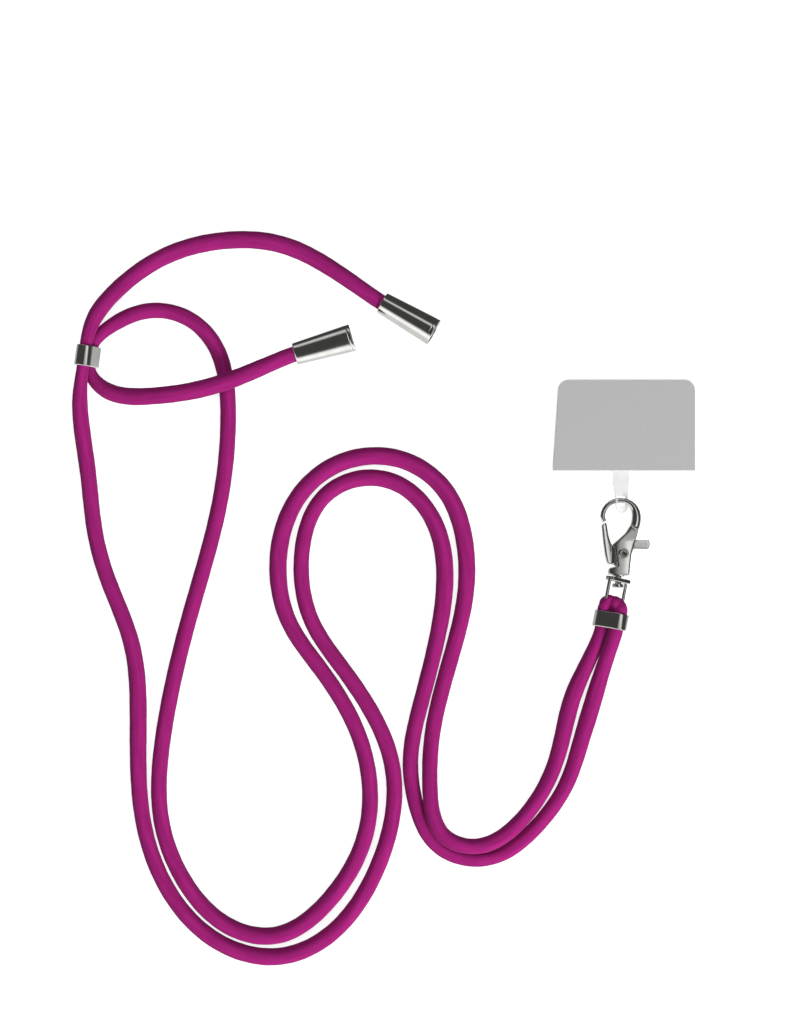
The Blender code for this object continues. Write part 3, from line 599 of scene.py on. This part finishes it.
def housing_crown(x, y):
    """How much thinner the housing is, as a share, at a point of the clasp in mm."""
    return CROWN_SHARE * ((x - CROWN_RIDGE) / CROWN_REACH) ** 2 * between(y, *CROWN_FADE)


def lever_crown(x, y):
    """The same for the lever, whose arm slopes to its inner edge and whose thumb piece thins to its tip."""
    ridge, foot = (across + (up - y) * ARM_LEAN for across, up in (ARM_RIDGE, ARM_FOOT))
    arm = ARM_SHARE * between(x, ridge, foot) ** 1.5
    return arm * between(x, *ARM_FADE) + THUMB_SHARE * between(x, *THUMB_FADE)


def flat_curve(outline, thickness):
    """A closed outline extruded evenly about its plane, as a mesh."""
    curve = bpy.data.curves.new("outline", "CURVE")
    curve.dimensions = "2D"
    curve.fill_mode = "BOTH"
    curve.extrude = thickness / 2
    spline = curve.splines.new("POLY")
    spline.points.add(len(outline) - 1)
    for target, point in zip(spline.points, outline):
        target.co = (point[0], point[1], 0.0, 1.0)
    spline.use_cyclic_u = True
    guide = bpy.data.objects.new("outline", curve)
    bpy.context.scene.collection.objects.link(guide)
    bpy.context.view_layer.update()
    mesh = bpy.data.meshes.new_from_object(guide.evaluated_get(bpy.context.evaluated_depsgraph_get()))
    bpy.data.objects.remove(guide)
    work = bmesh.new()
    work.from_mesh(mesh)
    bmesh.ops.remove_doubles(work, verts=work.verts, dist=1e-6)
    work.to_mesh(mesh)
    work.free()
    return mesh


def card_outline():
    left, right = -CARD_WIDTH / 2 - CARD_MARGIN, CARD_WIDTH / 2 + CARD_MARGIN
    low, high = -CARD_HEIGHT / 2 - CARD_MARGIN, CARD_HEIGHT / 2 + CARD_MARGIN
    corner = CARD_CORNER + CARD_MARGIN
    top_right = arc((right - corner, high - corner), corner, 0, 90, CARD_CORNER_STEPS)
    top_left = arc((left + CARD_TAPER + corner, high - corner), corner, 90, 90, CARD_CORNER_STEPS)
    return [(left, low), (right, low)] + top_right + top_left


def tab_rows(bow):
    """Rows along the tab: y, height of its middle, twist and half width. The bow's wire is at bow."""
    edge = -CARD_HEIGHT / 2 - CARD_MARGIN
    flat, half = SHEET_THICKNESS / 2, TAB_WIDTH / 2
    rows = [(edge + TAB_ROOT, flat, 0.0, half)]
    for share in np.linspace(0, 1, TAB_ROWS):
        ease = share * share * (3 - 2 * share)
        rows.append((edge + (bow.y - edge) * share, flat + (bow.z - flat) * ease, TAB_TWIST * ease, half))
    for degrees in np.linspace(0, TAB_TIP_TURN, TAB_TIP_ROWS):
        angle = math.radians(degrees)
        y = bow.y - TAB_BEYOND + TAB_TIP * (1 - math.sin(angle))
        rows.append((y, bow.z, TAB_TWIST, half * math.cos(angle)))
    return rows


def make_sheet(look):
    """The clear sheet under the grey pad, with its twisted tab on the bow."""
    sheet = put("strap_clear_sheet", flat_curve(card_outline(), SHEET_THICKNESS), look)
    for vertex in sheet.data.vertices:
        vertex.co.z += SHEET_THICKNESS / 2
    bow = clasp_frame() @ TAB_ON_BOW
    work = bmesh.new()
    rings = []
    for y, height, twist, half in tab_rows(bow):
        across = Vector((math.cos(twist), 0, -math.sin(twist))) * half
        normal = Vector((math.sin(twist), 0, math.cos(twist))) * TAB_THICKNESS / 2
        middle = Vector((bow.x, y, height))
        corners = (middle - across + normal, middle + across + normal, middle + across - normal,
                   middle - across - normal)
        rings.append([work.verts.new(corner) for corner in corners])
    grid_between(work, rings)
    work.faces.new(rings[0][::-1])
    work.faces.new(rings[-1])
    bmesh.ops.recalc_face_normals(work, faces=work.faces)
    tab = mesh_object("tab", work, look)
    work = bmesh.new()
    bmesh.ops.create_cube(work, size=1.0)
    sizes = Matrix.Diagonal((TAB_WIDTH - 2 * TAB_RIM, TAB_HOLE_LENGTH, TAB_WIDTH, 1.0))
    work.transform(Matrix.Translation(bow) @ Matrix.Rotation(TAB_TWIST, 4, "Y") @ sizes)
    hole = mesh_object("tab_hole", work, look)
    for tool, operation in ((tab, "UNION"), (hole, "DIFFERENCE")):
        step = sheet.modifiers.new(tool.name, "BOOLEAN")
        step.operation = operation
        step.object = tool
    settle(sheet)
    sheet.data.set_sharp_from_angle(angle=SHEET_CREASE)
    for tool in (tab, hole):
        bpy.data.objects.remove(tool)
    return stand_for(sheet, "anchor_sheet", "hook")


class Nodes:
    """Short way to build a node tree."""

    def __init__(self, tree):
        self.tree = tree

    def add(self, kind, **settings):
        node = self.tree.nodes.new("ShaderNode" + kind)
        for key, value in settings.items():
            setattr(node, key, value)
        return node

    def link(self, source, target):
        self.tree.links.new(source, target)

    def fill(self, node, values):
        """Sets a node's inputs, in order, to numbers or sockets."""
        for socket, value in zip(node.inputs, values):
            if isinstance(value, bpy.types.NodeSocket):
                self.link(value, socket)
            else:
                socket.default_value = value
        return node

    def maths(self, operation, *values):
        return self.fill(self.add("Math", operation=operation), values).outputs[0]

    def fade(self, value, start, end):
        """From 0 at the start to 1 at the end, eased at both."""
        node = self.add("MapRange", interpolation_type="SMOOTHSTEP")
        return self.fill(node, (value, start, end, 0.0, 1.0)).outputs[0]

    def ramp(self, value, *stops):
        """Colours along a value, each stop a place and a colour."""
        node = self.add("ValToRGB")
        elements = node.color_ramp.elements
        while len(elements) < len(stops):
            elements.new(0.5)
        for element, (place, colour) in zip(elements, stops):
            element.position = place
            element.color = (*colour, 1.0)
        self.link(value, node.inputs["Fac"])
        return node.outputs["Color"]

    def noise(self, vector, scale, detail=2.0):
        node = self.add("TexNoise")
        node.inputs["Scale"].default_value = scale
        node.inputs["Detail"].default_value = detail
        self.link(vector, node.inputs["Vector"])
        return node.outputs["Fac"]


class Look(Nodes):
    """A material's node tree."""

    def __init__(self, name):
        self.material = bpy.data.materials.new(name)
        self.material.use_nodes = True
        super().__init__(self.material.node_tree)
        self.shader = self.tree.nodes["Principled BSDF"]

    def bump(self, height, strength, distance):
        node = self.add("Bump")
        node.inputs["Strength"].default_value = strength
        node.inputs["Distance"].default_value = distance
        self.link(height, node.inputs["Height"])
        self.link(node.outputs["Normal"], self.shader.inputs["Normal"])

    def set(self, **values):
        for key, value in values.items():
            self.shader.inputs[key.replace("_", " ")].default_value = value
        return self.material


def knit_look():
    """Fine jersey knit: columns of small v-shaped stitches, faint streaks along the cord, and painted shade
    darkening the grooves between the columns.
    """
    look = Look("knit")
    uv = look.add("UVMap", uv_map="knit").outputs["UV"]
    split = look.fill(look.add("SeparateXYZ"), (uv,))
    turn, along = split.outputs["X"], split.outputs["Y"]
    wale = look.maths("FRACT", look.maths("MULTIPLY", turn, WALES))
    across = look.maths("ABSOLUTE", look.maths("SUBTRACT", wale, 0.5))
    courses = look.maths("DIVIDE", along, COURSE)
    slanted = look.maths("MULTIPLY_ADD", across, 1.6, courses)
    stitch = look.maths("ABSOLUTE", look.maths("SUBTRACT", look.maths("FRACT", slanted), 0.5))
    valley = look.maths("POWER", look.maths("MULTIPLY", across, 2.0), 3.0)
    height = look.maths("SUBTRACT", look.maths("MULTIPLY", stitch, -0.8), valley)
    look.bump(height, 0.5, 0.1 * MM)
    place = look.add("CombineXYZ")
    look.fill(place, (look.maths("MULTIPLY", turn, 11.0), look.maths("MULTIPLY", along, 60.0)))
    streaks = look.noise(place.outputs[0], 1.0)
    # colour index: random streaks along the cord, plus painted shade that darkens the grooves between the
    # wales
    streaks_and_groove_shade = look.maths("MULTIPLY_ADD", valley, -0.22, streaks)
    colour = look.ramp(streaks_and_groove_shade, (0.2, (0.245, 0.010, 0.125)), (0.72, (0.36, 0.0165, 0.182)))
    look.link(colour, look.shader.inputs["Base Color"])
    return look.set(Roughness=0.7, Specular_IOR_Level=0.12, Sheen_Weight=0.035, Sheen_Roughness=0.45,
                    Sheen_Tint=(1.0, 0.55, 0.85, 1.0))


def nickel_look():
    """Polished nickel plate, a little uneven and faintly clouded."""
    look = Look("nickel")
    place = look.add("TexCoord").outputs["Object"]
    roughness = look.maths("MULTIPLY_ADD", look.noise(place, 700.0), 0.1, 0.08)
    look.link(roughness, look.shader.inputs["Roughness"])
    colour = look.ramp(look.noise(place, 260.0), (0.35, (0.71, 0.70, 0.67)), (0.65, (0.77, 0.765, 0.745)))
    look.link(colour, look.shader.inputs["Base Color"])
    look.bump(look.noise(place, 420.0), 0.12, 0.12 * MM)
    return look.set(Metallic=1.0)


def clear_look():
    """Clear, slightly milky plastic."""
    look = Look("clear_sheet")
    place = look.add("TexCoord").outputs["Object"]
    look.bump(look.noise(place, 150.0), 0.1, 0.1 * MM)
    colour = look.ramp(look.noise(place, 90.0), (0.3, (0.80, 0.81, 0.82)), (0.7, (0.86, 0.87, 0.875)))
    look.link(colour, look.shader.inputs["Base Color"])
    return look.set(Roughness=0.3, Specular_IOR_Level=0.3, Alpha=0.42)


def pad_look():
    """Matte grey film with a fine grain."""
    look = Look("grey_pad")
    place = look.add("TexCoord").outputs["Object"]
    look.bump(look.noise(place, 2500.0), 0.03, 0.03 * MM)
    colour = look.ramp(look.noise(place, 900.0), (0.3, (0.425, 0.425, 0.425)), (0.7, (0.435, 0.435, 0.435)))
    look.link(colour, look.shader.inputs["Base Color"])
    return look.set(Roughness=0.85, Specular_IOR_Level=0.1)


def dress(node, look):
    """A node of the frame with its better material."""
    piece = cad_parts[node]
    piece.data.materials.clear()
    piece.data.materials.append(look)


def area_light(name, place, target, size, power):
    data = bpy.data.lights.new(name, "AREA")
    data.shape = "RECTANGLE"
    data.size, data.size_y = size
    data.energy = power
    light = bpy.data.objects.new(name, data)
    bpy.context.scene.collection.objects.link(light)
    light.location = place
    light.rotation_euler = (Vector(target) - Vector(place)).to_track_quat("-Z", "Y").to_euler()
    light.visible_glossy = False


def make_room():
    """An even room, white in view. Metal sees a narrow light, a broad southern one and the table."""
    world = bpy.data.worlds.new("room")
    bpy.context.scene.world = world
    world.use_nodes = True
    room = Nodes(world.node_tree)
    way = room.add("TexCoord").outputs["Generated"]
    split = room.fill(room.add("SeparateXYZ"), (way,))
    east, north, up = split.outputs

    def along(normal):
        return room.fill(room.add("VectorMath", operation="DOT_PRODUCT"), (way, normal)).outputs["Value"]

    off_strip = room.maths("ABSOLUTE", along(STRIP_NORMAL))
    strip = room.maths("MULTIPLY", room.fade(off_strip, *STRIP_FADE), STRIP_LIGHT)
    strip = room.maths("MULTIPLY", strip, room.fade(up, *HORIZON_FADE))
    eastward = room.maths("MULTIPLY", room.fade(east, *EAST_FADE), room.fade(up, *EAST_RISE))
    strip = room.maths("MULTIPLY_ADD", eastward, EAST_LIGHT, strip)
    southward = room.fade(north, *SOUTH_FADE)
    soft = along(SOFTBOX_NORMAL)
    falling = room.maths("MULTIPLY_ADD", room.fade(soft, *SOFTBOX_DIM_FADE), -SOFTBOX_DIMMING, 1.0)
    box = room.maths("MULTIPLY", room.fade(soft, *SOFTBOX_FADE), falling)
    box = room.maths("MULTIPLY", room.maths("MULTIPLY", box, southward), SOFTBOX_LIGHT)
    table = room.maths("MULTIPLY", room.fade(up, *TABLE_FADE), room.fade(north, *TABLE_NORTH_FADE))
    away = room.maths("MULTIPLY_ADD", southward, -TABLE_LIGHT, TABLE_LIGHT)
    table = room.maths("MULTIPLY", table, away)
    seen = room.maths("ADD", room.maths("ADD", strip, box), room.maths("ADD", table, DARK_ROOM))
    ray = room.add("LightPath")
    plain = room.maths("MULTIPLY_ADD", ray.outputs["Is Camera Ray"], 1 - ROOM_LIGHT, ROOM_LIGHT)
    extra = room.maths("SUBTRACT", seen, plain)
    mixed = room.maths("MULTIPLY_ADD", extra, ray.outputs["Is Glossy Ray"], plain)
    room.link(mixed, world.node_tree.nodes["Background"].inputs["Strength"])
    world.node_tree.nodes["Background"].inputs["Color"].default_value = (1, 1, 1, 1)


def make_studio():
    """White table, and a soft key light from the lower right."""
    bpy.context.scene.view_settings.view_transform = "Standard"
    make_room()
    work = bmesh.new()
    bmesh.ops.create_grid(work, x_segments=1, y_segments=1, size=2.0)
    table = Look("table").set(Base_Color=(0.5, 0.5, 0.5, 1.0), Roughness=0.9, Specular_IOR_Level=0.0,
                              Emission_Color=(1, 1, 1, 1), Emission_Strength=0.82)
    floor = mesh_object("floor", work, table)
    floor.location = (VIEW_MIDDLE.x, VIEW_MIDDLE.y, -0.1 * MM)
    floor.visible_diffuse = False
    floor.visible_glossy = False
    middle = (VIEW_MIDDLE.x, VIEW_MIDDLE.y, 0.0)
    area_light("key", (0.9, -1.45, 1.1), middle, (1.1, 0.8), 50.0)
    area_light("overhead", (-0.1, 0.1, 0.95), middle, (0.9, 0.3), 2.5)


make_camera()
nickel = nickel_look()
caps = (make_cap("strap_cap_a", "end_cap_a", CAP_A, nickel),
        make_cap("strap_cap_b", "end_cap_b", CAP_B, nickel))
make_cords(knit_look(), caps)
make_sleeve("strap_crimp_band", "crimp_band", BAND_SPREAD, BAND_GIRTH * CORD_DIAMETER / 2 + GAP, BAND_WALL,
            BAND_LENGTH, head_frame(-BAND_ROLL) @ Matrix.Translation((0, -BAND_BELOW, 0)), nickel)
make_sleeve("strap_slider", "slider_ring", SLIDER_SPREAD, SLIDER_GIRTH * CORD_DIAMETER / 2 + GAP,
            SLIDER_WALL, SLIDER_LENGTH, slider_frame(), nickel)
cast_piece("strap_eye", "swivel_eye", "strap", nickel, EYE_POLISH)
cast_piece("strap_hook", "hook_body", "hook", nickel, HOOK_POLISH, housing_crown)
cast_piece("strap_lever", "hook_lever", "lever", nickel, LEVER_POLISH, lever_crown)
make_pin(nickel)
make_sheet(clear_look())
dress("anchor_pad", pad_look())
make_studio()
